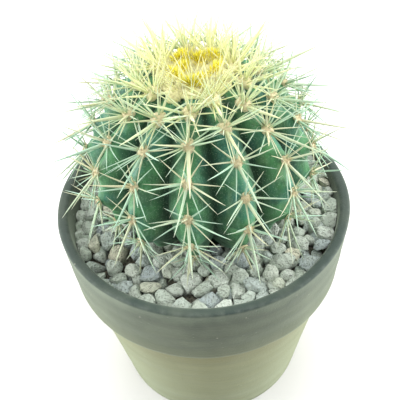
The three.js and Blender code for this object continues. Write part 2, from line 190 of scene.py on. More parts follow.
def new_finish(name, **sockets):
    """Material with plain numbers on its shader's own sockets."""
    finish = bpy.data.materials.new(name)
    finish.use_nodes = True
    shader = finish.node_tree.nodes["Principled BSDF"]
    for socket, value in sockets.items():
        shader.inputs[socket.replace("_", " ").title()].default_value = value
    return finish


def add_node(finish, kind, inputs, **settings):
    """New node; each input gets a plain value or another node's output."""
    node = finish.node_tree.nodes.new("ShaderNode" + kind)
    for key, value in settings.items():
        setattr(node, key, value)
    for key, value in inputs.items():
        if isinstance(value, bpy.types.NodeSocket):
            finish.node_tree.links.new(value, node.inputs[key])
        else:
            node.inputs[key].default_value = value
    return node


def use(finish, socket, value):
    """Feeds a node's output to one socket of the finish's shader."""
    shader = finish.node_tree.nodes["Principled BSDF"]
    finish.node_tree.links.new(value, shader.inputs[socket])


# %% Patterns for the finishes
def place_on(finish, size, stretch=(1, 1, 1)):
    """The object's coordinates in steps of size mm; a stretch below 1 draws a pattern out."""
    place = add_node(finish, "TexCoord", {}).outputs["Object"]
    scale = [share / (size * MM) for share in stretch]
    return add_node(finish, "Mapping", {"Vector": place, "Scale": scale}).outputs[0]


def grain(finish, size, detail, stretch=(1, 1, 1)):
    """Noise from 0 to 1 whose blobs are about size millimetres wide."""
    inputs = {"Vector": place_on(finish, size, stretch), "Scale": 1.0, "Detail": detail}
    return add_node(finish, "TexNoise", inputs).outputs["Fac"]


def pores(finish, size):
    """Distance from the nearest of many scattered points, about 0 in a pore and 1 between."""
    inputs = {"Vector": place_on(finish, size), "Scale": 1.0}
    return add_node(finish, "TexVoronoi", inputs).outputs["Distance"]


def value_of(finish, name):
    """A named point value of the piece."""
    return add_node(finish, "Attribute", {}, attribute_name=name).outputs["Fac"]


def spread(finish, value, low=0.0, high=1.0, to_low=0.0, to_high=1.0):
    """Stretches a value's range from low to high to another, and cuts off what lies outside."""
    inputs = {"Value": value, 1: low, 2: high, 3: to_low, 4: to_high}
    return add_node(finish, "MapRange", inputs).outputs[0]


def sums(finish, operation, first, second):
    """One sum on two values, such as ADD or MULTIPLY."""
    return add_node(finish, "Math", {0: first, 1: second}, operation=operation).outputs[0]


# %% Colours and bumps of the finishes
def painted(finish, tint, layers):
    """Base colour of a finish: colours laid over a tint, one after the other.

    Each layer has a value, the ends by which it is spread to give the colour's share, and the
    colour in screen values.
    """
    for value, *ends, colour in layers:
        inputs = {0: spread(finish, value, *ends), 6: tint, 7: shade(*colour)}
        tint = add_node(finish, "Mix", inputs, data_type="RGBA").outputs[2]
    use(finish, "Base Color", tint)


def shades(finish, value, stops):
    """Colour that runs through stops from 0 to 1, each a position and three screen values."""
    ramp = add_node(finish, "ValToRGB", {"Fac": value})
    elements = ramp.color_ramp.elements
    for stop in stops[1:-1]:
        elements.new(stop[0])
    for element, stop in zip(elements, stops):
        element.color = shade(*stop[1:])
    return ramp.outputs["Color"]


def bumped(finish, layers):
    """Bumps of a finish: where a layer's height is 1, it rises by its depth in millimetres."""
    under = {}
    for height, depth in layers:
        inputs = {"Height": height, "Distance": depth * MM, **under}
        under = {"Normal": add_node(finish, "Bump", inputs).outputs[0]}
    use(finish, "Normal", under["Normal"])


# %% [markdown]
# ## The pot
# The real pot is thrown on a wheel from grey clay: a deep collar under a rounded rim, a soft step,
# and a body that tapers to its foot, with a drain hole. A Screw modifier could turn its outline,
# but here the turned grid is worked out, because the shallow rings of the throwing are pressed
# into its points. The outline's corners are softened as a sponge would.

# %% Outline of the pot
POT_HEIGHT = 100
STEP_HEIGHT = 66.6
DRAIN_HOLE = [(7, 0), (7, 6)]
INNER_WALL = [(38.6, 6), (50.4, 64), (53.4, 72), (56.5, POT_HEIGHT)]
OUTER_WALL = [(61, POT_HEIGHT), (58, STEP_HEIGHT), (54.7, STEP_HEIGHT), (42.8, 0)]
POT_ROUNDINGS = [0.4, 0.4, 3, 3, 3, 2.0, 1.5, 2.8, 2.0, 1.3]
CURVE_POINTS = 8


def rounded_outline(corners, roundings, spacing):
    """Closed outline whose corners are parabolas.

    Each parabola runs from one rounding before its corner to one rounding past it, and leans on
    the corner. Besides its points there is one at every spacing along the outline.
    """
    corners = np.array(corners, float)
    reach = np.array(roundings)[:, None]
    start, end = ((corners + reach * unit(np.roll(corners, step, axis=0) - corners))[:, None]
                  for step in (1, -1))
    share = np.linspace(0, 1, CURVE_POINTS)[None, :, None]
    curves = (1 - share) ** 2 * start + 2 * share * (1 - share) * corners[:, None] + share ** 2 * end
    outline = curves.reshape(-1, 2)
    closed = np.vstack([outline, outline[:1]])
    along = np.concatenate([[0], np.cumsum(length_of(np.diff(closed, axis=0)))])
    places = np.unique(np.concatenate([along[:-1], np.arange(0, along[-1], spacing)]).round(3))
    return np.stack([np.interp(places, along, closed[:, axis]) for axis in (0, 1)], axis=1)


pot_outline = rounded_outline(DRAIN_HOLE + INNER_WALL + OUTER_WALL, POT_ROUNDINGS, 1.6)
print("the pot's outline has", len(pot_outline), "points")

# %% Throwing rings and wear of the pot
POT_COLUMNS = 256
RING_DEPTH = 0.16
WOBBLE_DEPTH = 0.09
WORN_CORNERS = np.array([OUTER_WALL[0], INNER_WALL[-1], OUTER_WALL[1], OUTER_WALL[3]])
WORN_REACH = 1.2
pot_rings = turned(pot_outline, turn_steps(POT_COLUMNS))
height = pot_outline[:, 1]
wall_radii, wall_heights = np.transpose(INNER_WALL)
inner_radius = np.interp(height, wall_heights, wall_radii)
outside = smooth_step(0.5, 2.5, pot_outline[:, 0] - inner_radius)
# Painted shade on the inside of the wall, from about 83 mm up to just under the rim.
pot_lining = (1 - outside) * smooth_step(80, 86, height) * (1 - smooth_step(98.2, 99.2, height))
outside = outside * smooth_step(0.3, 1.5, height)
# The rings are a sine of the height that drifts in pace and depth, and hills add a wobble.
thrown = 0.5 + 0.5 * np.sin(height / 1.9 + 1.3 * np.sin(height / 7) + 0.4)
thrown = thrown * (0.35 + 0.65 * smooth_step(0, 1, np.sin(height / 11 + 1)))
wobble = 1 + np.clip(hills(pot_rings, 38, 3), -1, 1)
press = outside[:, None] * (RING_DEPTH * thrown[:, None] + WOBBLE_DEPTH * wobble)
pot_rings[..., :2] *= (1 - press / length_of(pot_rings[..., :2]))[..., None]
nearest = length_of(pot_outline[:, None] - WORN_CORNERS).min(axis=1)
pot_wear = np.exp(-((nearest / WORN_REACH) ** 2))
pot_rim = smooth_step(98.7, 99.3, height)
print("throwing rings are up to", press.max().round(2), "mm deep")

# %% [markdown]
# ## Grey clay
# Unglazed clay is matt and a little sandy, and its fine dust catches light at the edges, which is
# what sheen does. The collar is grey green and darkens towards the rim with painted shade. The
# body under the step is warmer and paler, its warmth partly its own colour and partly a painted
# warm reflection. The rim is a slate grey band, and the wall inside is darker still with painted
# shade: a colour for each height. The pot was wiped as it turned. Its faint lines could be
# painted, but noise drawn out round it gives them at once, most of them on the collar. Small
# pale bits of grog show in it.

# %% Finish of the clay
clay = new_finish("grey_clay", Roughness=0.78, Sheen_Weight=0.35, Sheen_Roughness=0.45,
                  Sheen_Tint=(0.86, 1.0, 0.78, 1.0))
heights = add_node(clay, "SeparateXYZ", {"Vector": place_on(clay, 1)}).outputs["Z"]
cloud = grain(clay, 17, 5)
streaks = grain(clay, 1.0, 6, (0.045, 0.045, 0.9))
wavy_height = sums(clay, "ADD", heights, spread(clay, cloud, 0.3, 0.7, -2.5, 2.5))
# Colour by height: the collar's darkening towards the rim is painted shade, and the body's warmth is
# partly its own colour and partly a painted warm reflection.
zones = shades(clay, spread(clay, wavy_height, 0, POT_HEIGHT), [
    (0.0, 118, 122, 86), (0.5, 111, 111, 68), (0.655, 106, 100, 56), (0.675, 82, 88, 62),
    (0.78, 60, 68, 50), (0.93, 50, 60, 46), (1.0, 78, 91, 76),
])
wheel_lines = spread(clay, grain(clay, 2.6, 3, (0.035, 0.035, 1)), 0.52, 0.66, 0.0, 0.35)
collar_lines = sums(clay, "MULTIPLY", wheel_lines, spread(clay, heights, 60, 72, 0.25, 1.0))
worn = sums(clay, "MULTIPLY", value_of(clay, "wear"), spread(clay, grain(clay, 3, 5), 0.4, 0.65))
painted(clay, zones, [
    (value_of(clay, "rim"), (43, 60, 55)),
    # painted shade: the wall inside is darkened as if in shadow
    (value_of(clay, "lining"), (34, 44, 38)),
    (streaks, 0.36, 0.62, 0.16, 0, (70, 76, 60)),
    (cloud, 0.45, 0.75, 0, 0.2, (158, 164, 142)),
    (collar_lines, (60, 68, 62)),
    (grain(clay, 0.5, 3), 0.58, 0.8, 0, 0.45, (92, 98, 88)),
    (pores(clay, 6.5), 0.03, 0.055, 0.5, 0, (180, 180, 160)),
    (worn, 0, 1, 0, 0.16, (150, 158, 148)),
])
use(clay, "Roughness", spread(clay, cloud, 0.3, 0.7, 0.66, 0.88))
pits = spread(clay, pores(clay, 3.2), 0.04, 0.12)
bumped(clay, [(grain(clay, 0.7, 5), 0.1), (streaks, 0.04), (pits, 0.12)])

# %% Put the pot in its place
pot_clay = new_piece("pot_clay", *closed_band(pot_rings), clay, "clay", wear=pot_wear, rim=pot_rim,
                     lining=pot_lining)
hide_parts("pot")

# %% [markdown]
# ## Potting soil
# The soil is hidden by the gravel, and shows only in the drain hole. It could be made anew, but
# its measured solid has the right shape, so it only gets a finish: dark crumbs, paler fibres.

# %% Finish of the soil
soil = new_finish("potting_soil", Roughness=0.95)
crumbs = grain(soil, 1.6, 6)
painted(soil, shade(44, 33, 25), [
    (crumbs, 0.35, 0.65, (92, 72, 54)),
    (grain(soil, 0.6, 2, (1, 0.15, 1)), 0.66, 0.72, (160, 132, 98)),
])
bumped(soil, [(crumbs, 0.8)])
soil_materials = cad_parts["potting_soil"].data.materials
soil_materials.clear()
soil_materials.append(soil)

# %% [markdown]
# ## Pumice gravel
# Loose, broken pale stones of 4 to 10 mm cover the soil. A physics drop could settle them, but
# formulas are quicker and always end the same: discs push each other apart until none overlaps
# much, each stone is a ball cut by random planes with rounded edges, and planes between it and
# its neighbours trim its sides, so that the stones fit closely with thin dark gaps.

# %% Where the stones lie
GRAVEL_HEIGHT = 90
GRAVEL_SLOPE = 0.05
UPPER_STONES = 228
LOWER_STONES = 230
NEIGHBOURS = 8
STONE_GAP = 0.55
PUSH = 0.25
random = np.random.default_rng(11)


def gravel_surface(x):
    """Height of the gravel between its stones, which rises towards the right."""
    return GRAVEL_HEIGHT + GRAVEL_SLOPE * x


def scattered(radii, inner, outer, passes):
    """Places for discs in a ring between two radii.

    They start on random spots of even density. In each pass every pair that overlaps moves
    apart along the line between its middles, and all stay between the two radii.
    """
    reach = np.sqrt(random.uniform(inner ** 2, outer ** 2, len(radii)))
    places = round_axis(reach, random.uniform(0, TURN, len(radii)))
    room = radii[:, None] + radii
    for _ in range(passes):
        apart = places[:, None] - places
        distance = length_of(apart) + 1e-6
        overlap = np.clip(room - distance, 0, None)
        np.fill_diagonal(overlap, 0)
        places += (PUSH * (overlap / distance)[..., None] * apart).sum(axis=1)
        reach = length_of(places)
        places *= (np.clip(reach, inner + radii, outer - radii) / reach)[:, None]
    return places


def trimming_planes(places, size):
    """Normals and distances of the planes that trim each stone's sides.

    One plane faces each of the nearest neighbours and leans a little. It lies on the line between
    the two middles, at the stone's size over the sum of both sizes, less half a gap.
    """
    ways = places - places[:, None]
    nearest = np.argsort(length_of(ways), axis=1)[:, 1:NEIGHBOURS + 1]
    ways = np.take_along_axis(ways, nearest[..., None], axis=1)
    way = length_of(ways)
    share = size[:, None] / (size[:, None] + size[nearest])
    normal = unit(raised(unit(ways), random.normal(0, 0.3, way.shape)))
    return normal, share * way - STONE_GAP / 2


upper_size = random.triangular(2.2, 3.0, 5.2, UPPER_STONES)
lower_size = random.uniform(2.0, 3.4, LOWER_STONES)
upper_place = scattered(0.86 * upper_size, 19.5, 56.2, 160)
lower_place = scattered(0.85 * lower_size, 18, 55.2, 60)
print(UPPER_STONES + LOWER_STONES, "stones, the widest about", (2 * upper_size.max()).round(1), "mm")

# %% Shape of the stones
CUTS = 11
CUT_SHARPNESS = 22
TRIM_SHARPNESS = 14
WHOLE_SHARE = 0.8
ROUGHNESS = 0.055


def swung(first, second, angle):
    """Two coordinates turned by an angle: first cos - second sin, and first sin + second cos."""
    cosine, sine = np.cos(angle)[:, None], np.sin(angle)[:, None]
    return first * cosine - second * sine, first * sine + second * cosine


def cut_softly(shapes, normal, distance, sharpness, whole):
    """Shapes cut by planes with rounded edges.

    A point is multiplied by a sum to the power -1/n, where n is the sharpness. The sum is the
    whole to the power n and, for each plane, the power n of the point's height towards it over
    its distance. So a whole of 1 leaves what no plane reaches.
    """
    towards = np.clip(np.einsum("npk,njk->npj", shapes, normal), 0, None) / distance[:, None]
    powers = (towards ** sharpness).sum(-1) + whole ** sharpness
    return shapes * (powers ** (-1 / sharpness))[..., None]


def pumice_stones(places, size, rows, columns):
    """Points of one stone for each size, round the origin, from its top by its rings to its end.

    Random planes cut a ball and hills roughen it. It is drawn out along its length, flattened,
    tipped and turned, and the planes towards its neighbours cut it last.
    """
    count = len(size)
    flatness = random.uniform(0.6, 0.92, count)
    polar = np.pi * np.arange(1, rows + 1) / (rows + 1)
    ball = turned(np.stack([np.sin(polar), np.cos(polar)], -1), turn_steps(columns, TURN / 4))
    ball = np.vstack([[[0, 0, 1]], ball.reshape(-1, 3), [[0, 0, -1]]])
    normal = unit(random.normal(size=(count, CUTS, 3)))
    distance = random.uniform(0.56, 1.0, (count, CUTS))
    shapes = cut_softly(ball[None], normal, distance, CUT_SHARPNESS, WHOLE_SHARE)
    shapes *= 1 + ROUGHNESS * hills(shapes + 9 * normal[:, :1], 0.8, 19)[..., None]
    width = np.stack([random.uniform(1.5, 2.2, count), random.uniform(1.2, 1.6, count), flatness], -1)
    x, y, z = np.moveaxis(shapes * (size[:, None] * width)[:, None], -1, 0)
    y, z = swung(y, z, random.normal(0, 0.33, count))
    x, y = swung(x, y, random.uniform(0, TURN, count))
    sides = trimming_planes(places, size)
    return cut_softly(np.stack([x, y, z], axis=-1), *sides, TRIM_SHARPNESS, 1)


# %% Settle the stones
STEM_RADIUS = 44.3
STEM_HALF_HEIGHT = 37.5
STEM_MIDDLE = 125.7
STEM_GAP = 0.3
WALL_HEIGHTS = [72, 98.8]
WALL_RADII = [53.4, 56.5]
WALL_GAP = 0.35


def settled(places, size, crests, rows, columns):
    """Points and faces of stones that rise above the gravel's surface by a range of crests.

    None rises past the stem's smooth underside, which is half of an ellipse.
    """
    crest = random.uniform(*crests, len(size))
    stones = pumice_stones(places, size, rows, columns)
    share = np.clip((length_of(places) - 1.5) / STEM_RADIUS, 0, 1)
    underside = STEM_MIDDLE - STEM_HALF_HEIGHT * np.sqrt(1 - share ** 2)
    crest_height = np.minimum(gravel_surface(places[:, 0]) + crest, underside - STEM_GAP)
    stones += raised(places, crest_height - stones[..., 2].max(axis=1))[:, None]
    rings = stones[:, 1:-1].reshape(len(size), rows, columns, 3)
    return closed_skins(stones[:, 0], rings, stones[:, -1])


upper_points, upper_faces = settled(upper_place, upper_size, (2.2, 4.4), 7, 11)
lower_points, lower_faces = settled(lower_place, lower_size, (0.3, 2.0), 5, 8)
stone_points = np.concatenate([upper_points, lower_points])
stone_faces = upper_faces + [some + len(upper_points) for some in lower_faces]
points_each = [len(upper_points) // UPPER_STONES, len(lower_points) // LOWER_STONES]
stone_tone = np.repeat(random.uniform(0, 1, UPPER_STONES + LOWER_STONES),
                       np.repeat(points_each, [UPPER_STONES, LOWER_STONES]))
sunk = gravel_surface(stone_points[:, 0]) + 1.2 - stone_points[:, 2]
# Painted shade: the lower a point lies under the gravel's surface, the darker it is painted.
stone_sunk_shade = smooth_step(-0.6, 3.6, sunk)
wall_limit = np.interp(stone_points[:, 2], WALL_HEIGHTS, WALL_RADII) - WALL_GAP
inward = wall_limit / np.maximum(length_of(stone_points[:, :2]), 1)
stone_points[:, :2] *= np.minimum(1, inward)[:, None]
print("the stones rise to", stone_points[:, 2].max().round(1), "mm")

# %% [markdown]
# ## Look of the pumice
# Each stone has its own tone, from bluish grey over grey green to off white, with a few beige
# ones. Pumice is frozen foam, so fine pores cover it, their dark colour painted shade, and dust
# makes it matt. The deeper a point lies, the darker it is painted, as painted shade between the
# stones. Each stone could have its own material, but point values carry tone and depth, so one
# finish does for all.

# %% Finish of the stones
pumice = new_finish("pumice", Roughness=0.9)
stone_tint = shades(pumice, value_of(pumice, "tone"), [
    (0.0, 176, 188, 190), (0.12, 188, 201, 198), (0.3, 196, 208, 194), (0.6, 205, 215, 202),
    (0.8, 216, 225, 214), (0.92, 211, 219, 200), (1.0, 214, 211, 186),
])
veins = grain(pumice, 2.2, 6)
# Pores: sunk by the bump, and darkened in colour as painted shade.
pore_pits_and_shade = spread(pumice, pores(pumice, 0.85), 0.14, 0.42)
painted(pumice, stone_tint, [
    (veins, 0.42, 0.7, 0, 0.5, (154, 164, 147)),
    (grain(pumice, 0.6, 3), 0.56, 0.74, 0, 0.55, (128, 130, 114)),
    # painted shade in the pores
    (pore_pits_and_shade, 0, 1, 0.4, 0, (104, 106, 90)),
    # painted shade deep between the stones
    (value_of(pumice, "depth"), 0, 1, 0, 0.85, (50, 50, 42)),
])
bumped(pumice, [(veins, 1.2), (grain(pumice, 0.5, 4), 0.2), (pore_pits_and_shade, 0.28)])

# %% Put the stones in their place
gravel_stones = new_piece("gravel_stones", stone_points, stone_faces, pumice, "pumice",
                          tone=stone_tone, depth=stone_sunk_shade)
gravel_stones.data.set_sharp_from_angle(angle=np.radians(42))

# %% Bed of grit under the stones, dark with painted shade
BED_OUTLINE = [(13.1, 82.4), (15.9, 88.2), (54.6, 88.2), (53.9, 82.4)]
BED_COLUMNS = 144
bed_outline = rounded_outline(BED_OUTLINE, [0.5, 0.6, 0.6, 0.5], 1.5)
bed_rings = turned(bed_outline, turn_steps(BED_COLUMNS))
on_top = smooth_step(84, 88, bed_outline[:, 1])[:, None]
bed_rings[..., 2] += on_top * (GRAVEL_SLOPE * bed_rings[..., 0] + 0.35 * hills(bed_rings, 3, 5))
# The bed shows only in the gaps between the stones; its dark grey is painted shade there.
painted_shade_grit = new_finish("painted_shade_grit", Roughness=0.95)
grit_grain = grain(painted_shade_grit, 1.1, 6)
painted(painted_shade_grit, shade(44, 42, 34), [(grit_grain, 0.35, 0.65, (100, 98, 84))])
bumped(painted_shade_grit, [(grit_grain, 0.7)])
gravel_bed = new_piece("gravel_bed", *closed_band(bed_rings), painted_shade_grit, "pumice")
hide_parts("gravel_topdressing")

# %% [markdown]
# ## The stem
# The stem is a slightly flattened ball with 13 ribs that run from the crown to the neck, rounded
# flanks and a small bulge under each felt cushion. Sculpting could do it, but the plant itself
# follows a rule: rib and cushion places come from a spiral, so one formula gives the whole skin.

# %% Places on the stem
RIBS = 13
FRONT_RIB = np.radians(-7.7)
FRONT_CUSHION = 26
RIBS_TO_NEXT = 5
SPACING = 11.0
SPACING_GROWTH = 1.0


def steps_at(colatitude):
    """Cushion steps s from the crown, where the colatitude in degrees is 11 s + s squared."""
    root = np.sqrt(SPACING ** 2 + 4 * SPACING_GROWTH * np.degrees(colatitude))
    return (root - SPACING) / (2 * SPACING_GROWTH)


def cushion_angles(numbers):
    """Colatitude and azimuth of cushions, counted from the crown's middle.

    Cushion n lies s = n/13 steps from the middle, which is 11 s + s squared degrees, and each
    one is 5 ribs on from the one before.
    """
    steps = numbers / RIBS
    colatitude = np.radians(SPACING * steps + SPACING_GROWTH * steps ** 2)
    return colatitude, FRONT_RIB + (numbers - FRONT_CUSHION) * RIBS_TO_NEXT * TURN / RIBS


def stem_frame(colatitude, azimuth):
    """Point of the smooth ellipsoid, and three directions: out of it, across the rib and down it."""
    out = raised(round_axis(1, azimuth), 0 * azimuth)
    up = np.array([0, 0, 1.0])
    sine, cosine = np.sin(colatitude)[..., None], np.cos(colatitude)[..., None]
    point = STEM_RADIUS * sine * out + (STEM_MIDDLE + STEM_HALF_HEIGHT * cosine) * up
    normal = unit(sine / STEM_RADIUS * out + cosine / STEM_HALF_HEIGHT * up)
    across = np.stack([-np.cos(azimuth), -np.sin(azimuth), 0 * azimuth], axis=-1)
    return point, normal, across, np.cross(normal, across)


# %% Skin of the stem
RIB_DEPTH = 9.5
RIB_FADE = np.radians([11, 50])
GROOVE_POWER = 1.4
NOTCH_DEPTH = 2.2
DIMPLE_DEPTH = 3.0
DIMPLE_RADIUS = 9.0
SKIN_ROWS = 205
COLUMNS_PER_RIB = 20


def stem_skin(colatitude, azimuth):
    """Point of the skin, and how far off the ridge of its rib it lies, from 0 to 1.

    It is the ellipsoid sunk along its normal by 9.5 times the distance off the ridge to the
    power 1.4, and by a cosine notch of 2.2 between two cushions. Both fade out at the crown,
    where a bell curve sinks a dimple.
    """
    place = (azimuth - FRONT_RIB) * RIBS / TURN
    rib = np.round(place)
    off_ridge = 2 * np.abs(place - rib)
    rib_start = np.mod(8 * rib, RIBS) / RIBS
    fade = smooth_step(*RIB_FADE, colatitude) * np.sin(colatitude)
    notch = (1 - np.cos(TURN * (steps_at(colatitude) - rib_start))) / 2
    soft_ridge = np.sqrt(off_ridge ** 2 + 0.006) - 0.077 * (1 - off_ridge)
    depth = fade * (RIB_DEPTH * soft_ridge ** GROOVE_POWER + NOTCH_DEPTH * notch * (1 - off_ridge))
    point, normal, _, _ = stem_frame(colatitude, azimuth)
    point = point - depth[..., None] * normal
    bell = np.exp(-((STEM_RADIUS * np.sin(colatitude) / DIMPLE_RADIUS) ** 2))
    point[..., 2] -= np.where(colatitude < np.pi / 2, DIMPLE_DEPTH * bell, 0)
    return point, off_ridge


columns = turn_steps(RIBS * COLUMNS_PER_RIB, FRONT_RIB)
skin_grid = np.meshgrid(np.radians(np.linspace(1.5, 152, SKIN_ROWS)), columns, indexing="ij")
skin, off_ridge = stem_skin(*skin_grid)
ripple = 0.16 * np.minimum(hills(skin, 7, 21), 1) + 0.05 * hills(skin, 2.2, 22) - 0.2
skin = skin + ripple[..., None] * stem_frame(*skin_grid)[1]
print("the skin's grid is", skin.shape[0], "by", skin.shape[1], "points")

# %% Neck and taproot under the gravel
NECK = np.array([(17.5, 90.2), (15.5, 87), (12.6, 82.6), (11.9, 80), (10, 70), (7.4, 56), (4.6, 44),
                 (3.2, 42.4)])
ROOT_TIP = 42.0


def down_the_neck(value):
    """A value of the skin's grid for every point of the stem.

    It is 0 at the top point, and the grid's last row holds for the neck.
    """
    rows = np.pad(value, [(0, len(NECK)), (0, 0)], mode="edge")
    return np.concatenate([[0], rows.ravel(), rows[-1, :1]])


drop = NECK[:, 1:, None] - skin[-1, :, 2].mean()
ribbed_neck = skin[-1] * np.array([0.82, 0.82, 1]) + drop * [0, 0, 1]
roundness = smooth_step(0, 3, np.arange(len(NECK)) + 0.5)[:, None, None]
neck_rings = (1 - roundness) * ribbed_neck + roundness * turned(NECK, columns)
stem_rings = np.concatenate([skin, neck_rings])[None]
crown_middle, _ = stem_skin(np.zeros(1), np.array([FRONT_RIB]))
stem_points, stem_faces = closed_skins(crown_middle, stem_rings, np.array([[0, 0, ROOT_TIP]]))
stem_groove = down_the_neck(off_ridge)
# Painted shade low on the stem, fading in from about 96 to 128 degrees from the crown.
stem_age = down_the_neck(smooth_step(np.radians(96), np.radians(128), skin_grid[0]))
print("the stem reaches", np.abs(stem_points[:, :2]).max().round(1), "mm from the axis")

# %% [markdown]
# ## Green skin
# The skin is waxy: mid green in soft patches, blue green where the bloom of wax is thick, with
# paler and darker streaks down the ribs. Painted shade makes it almost black green in the
# grooves and darkens it low on the stem, most in the grooves there, and the grooves are duller.
# Tiny breathing pores speckle it. It could be painted, but patches of noise at several sizes,
# laid over each other, give such a mix and never stretch.

# %% Finish of the skin
green = new_finish("green_skin", Roughness=0.5, Sheen_Weight=0.25, Sheen_Roughness=0.4,
                   Sheen_Tint=(0.5, 1.0, 0.6, 1.0))
groove = value_of(green, "groove")
patch = grain(green, 9, 4)
# painted shade low on the stem, strongest in the grooves
aged = sums(green, "MULTIPLY", value_of(green, "age"), spread(green, groove, 0.1, 0.6, 0.3, 0.95))
stomata = spread(green, pores(green, 0.7), 0.1, 0.32, 1.0, 0.0)
painted(green, shade(40, 99, 58), [
    (patch, 0.38, 0.62, (79, 147, 90)),
    (grain(green, 15, 3), 0.48, 0.62, 0, 0.75, (50, 118, 106)),
    (grain(green, 5, 4, (1, 1, 0.35)), 0.55, 0.7, 0, 0.55, (124, 166, 112)),
    (grain(green, 3, 5, (1, 1, 0.3)), 0.52, 0.7, 0, 0.6, (34, 76, 50)),
    (grain(green, 1.1, 4, (1, 1, 0.3)), 0.5, 0.75, 0, 0.4, (124, 172, 136)),
    # painted shade: almost black green deep in the grooves
    (groove, 0.3, 0.9, 0, 0.92, (10, 42, 23)),
    (aged, (18, 44, 32)),
    (stomata, 0, 1, 0, 0.4, (142, 176, 142)),
    (grain(green, 0.8, 3), 0.55, 0.8, 0, 0.35, (46, 88, 62)),
])
waxy = spread(green, patch, 0.3, 0.7, 0.42, 0.6)
use(green, "Roughness", sums(green, "ADD", waxy, spread(green, groove, 0.3, 0.85, 0, 0.35)))
bumped(green, [(grain(green, 3.2, 4), 0.4), (stomata, 0.04)])
cactus_stem = new_piece("cactus_stem", stem_points, stem_faces, green, "cactus_skin",
                        groove=stem_groove, age=stem_age)
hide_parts("cactus")

# %% [markdown]
# ## Felt cushions
# Each cushion sits on a rib's ridge, sand tan on old ribs and thick cream felt near the crown. It
# is a low oval dome, tufted on top, with short fine hairs that soften its edge. A hair system
# could grow them, but an exported model would lose it, so the hairs are tiny closed cones.

# %% Places of the cushions
CUSHIONS = np.arange(15, 92)


def youth_at(colatitude, oldest=42):
    """1 next to the crown, fading to 0 at the oldest angle in degrees from it."""
    return 1 - smooth_step(np.radians(16), np.radians(oldest), colatitude)


colatitude, azimuth = cushion_angles(CUSHIONS)
seat, seat_normal, seat_across, seat_down = stem_frame(colatitude, azimuth)
youth = youth_at(colatitude, 33)
print(len(CUSHIONS), "cushions, the lowest at", seat[:, 2].min().round(1), "mm")

# %% Domes of felt
DOME_ROWS = 6
DOME_COLUMNS = 16
growth = youth_at(colatitude, 70)[:, None]
swollen = youth_at(colatitude, 26)[:, None]
half_width = 1.7 + 1.35 * growth + 0.6 * swollen
dome_down = seat_down * (2.1 + 1.15 * growth + 0.6 * swollen)
dome_across = seat_across * half_width
dome_up = seat_normal * (1.05 + growth + 0.35 * swollen)


def felt_domes():
    """Top, rings and end of an oval dome on each seat.

    A ring at the angle u from the top lies sin u out and cos u up, and a slow wave round the
    ring makes the rim uneven.
    """
    angle = np.radians(np.linspace(18, 112, DOME_ROWS))[:, None, None]
    around = turn_steps(DOME_COLUMNS)[:, None]
    start = np.random.default_rng(7).uniform(0, TURN, (len(seat), 1, 1, 1))
    uneven = 1 + 0.1 * np.sin(3 * around + start) + 0.06 * np.sin(5 * around + 2 * start)
    base, down, across, up = (part[:, None, None] for part in (seat, dome_down, dome_across, dome_up))
    outward = down * np.cos(around) - across * np.sin(around)
    rings = base + up * np.cos(angle) + np.sin(angle) * uneven * outward
    return seat + dome_up, rings, seat - 0.5 * dome_up


dome_points, dome_faces = closed_skins(*felt_domes())
print("felt domes are up to", (2 * length_of(dome_down).max()).round(1), "mm long")

# %% Finish of the felt
felt = new_finish("cushion_felt", Roughness=0.95, Sheen_Weight=0.35, Sheen_Roughness=0.5)
tufts = grain(felt, 0.9, 5)
painted(felt, shade(222, 208, 164), [
    (grain(felt, 1.2, 4), 0.35, 0.65, (232, 224, 186)),
    (value_of(felt, "youth"), (240, 235, 182)),
    (tufts, 0.5, 0.7, 0, 0.3, (200, 174, 122)),
])
bumped(felt, [(tufts, 0.7), (grain(felt, 0.28, 3), 0.2)])
areole_felt = new_piece("areole_felt", dome_points, dome_faces, felt, "areole_felt", youth=youth)


# %% Cones for hairs and spines
def drawn_spines(roots, headings, bends, lengths, thickness, taper, rings, sides):
    """Top, rings and end of a round, tapering, bent spine for each root.

    At the share t from the root, the middle is root + length (t heading + t squared bend), and
    the radius is half the thickness times (1 - t) to the power taper.
    """
    share = np.linspace(0.97, 0, rings)[None, :, None]
    around = turn_steps(sides)[:, None]
    helper = np.where(np.abs(headings[:, 2:]) < 0.8, [[0, 0, 1.0]], [[1.0, 0, 0]])
    side = unit(np.cross(headings, helper))
    other = np.cross(headings, side)
    long = lengths[:, None, None]
    middle = roots[:, None] + long * (share * headings[:, None] + share ** 2 * bends[:, None])
    radius = (0.5 * np.reshape(thickness, (-1, 1, 1)) * (1 - share) ** taper)[:, :, None]
    rim = np.cos(around) * side[:, None, None] + np.sin(around) * other[:, None, None]
    tops = roots + lengths[:, None] * (headings + bends)
    return tops, middle[:, :, None] + radius * rim, roots


def drawn_piece(name, spines, shape, finish, slot, **values):
    """Piece with a closed skin for each spine or hair; the shape is its taper, rings and sides."""
    new_piece(name, *closed_skins(*drawn_spines(*spines, *shape)), finish, slot, **values)


def along_spines(count, rings, sides):
    """Share of the way from the root to the tip, for each point of each spine."""
    share = np.repeat(np.linspace(0.97, 0, rings), sides)
    return np.tile(np.concatenate([[1], share, [0]]), count)


